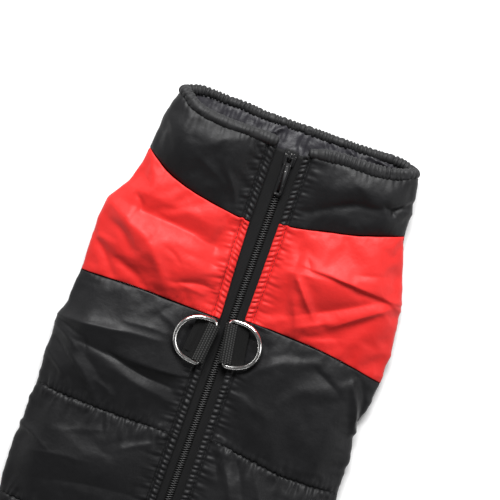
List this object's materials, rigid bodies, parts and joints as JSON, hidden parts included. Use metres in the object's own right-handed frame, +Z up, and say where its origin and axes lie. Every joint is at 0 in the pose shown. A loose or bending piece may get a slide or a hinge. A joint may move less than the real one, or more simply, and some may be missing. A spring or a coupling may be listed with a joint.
{
  "type": "dog winter vest",
  "caption": "Padded sleeveless pet vest laid flat, with a back zip, contrast yoke band, quilted body, gathered neck, leg openings and leash rings.",
  "frame": {"origin": "on the ground, below the middle of the vest's box", "axes": "+X to the right seen from above, +Y along the zip towards the collar, +Z up from the ground"},
  "size_m": [0.2039, 0.3503, 0.0239],
  "materials": {
    "black_nylon": "smooth nylon taffeta with a soft satin sheen, padded",
    "red_nylon": "smooth nylon taffeta with a soft satin sheen, padded",
    "lining": "thin crinkled taffeta",
    "neck_trim": "gathered elastic casing",
    "zip_tape": "matte woven tape",
    "zip_coil": "nylon coil",
    "slider_metal": "black enamel, worn at the edges",
    "webbing": "matte ribbed webbing",
    "ring_metal": "polished nickel plate"
  },
  "bodies": {
    "vest": {"collar_left": "black_nylon", "collar_right": "black_nylon", "yoke_left": "red_nylon", "yoke_right": "red_nylon", "body_left": "black_nylon", "body_right": "black_nylon", "belly_panel": "black_nylon", "collar_lining": "lining", "neck_binding": "neck_trim", "zip_tape_left": "zip_tape", "zip_tape_right": "zip_tape", "zip_chain": "zip_coil", "zip_slider": "slider_metal", "ring_webbing_left": "webbing", "ring_webbing_right": "webbing"},
    "left_ring": {"ring_left": "ring_metal"},
    "right_ring": {"ring_right": "ring_metal"},
    "tab": {"pull_tab": "slider_metal"}
  },
  "joints": [
    {"name": "ring_left_swing", "type": "hinge", "parent": "vest", "child": "left_ring", "pos_m": [-0.0096, 0.0327, 0.01694], "axis": [0.1045, 0.9945, 0], "range_deg": [0, 80]},
    {"name": "ring_right_swing", "type": "hinge", "parent": "vest", "child": "right_ring", "pos_m": [0.002, 0.0365, 0.01568], "axis": [0.1564, -0.9877, 0], "range_deg": [0, 80]},
    {"name": "pull_tab_swing", "type": "hinge", "parent": "vest", "child": "tab", "pos_m": [0, 0.15475, 0.01846], "axis": [-1, 0, 0], "range_deg": [0, 165]}
  ]
}
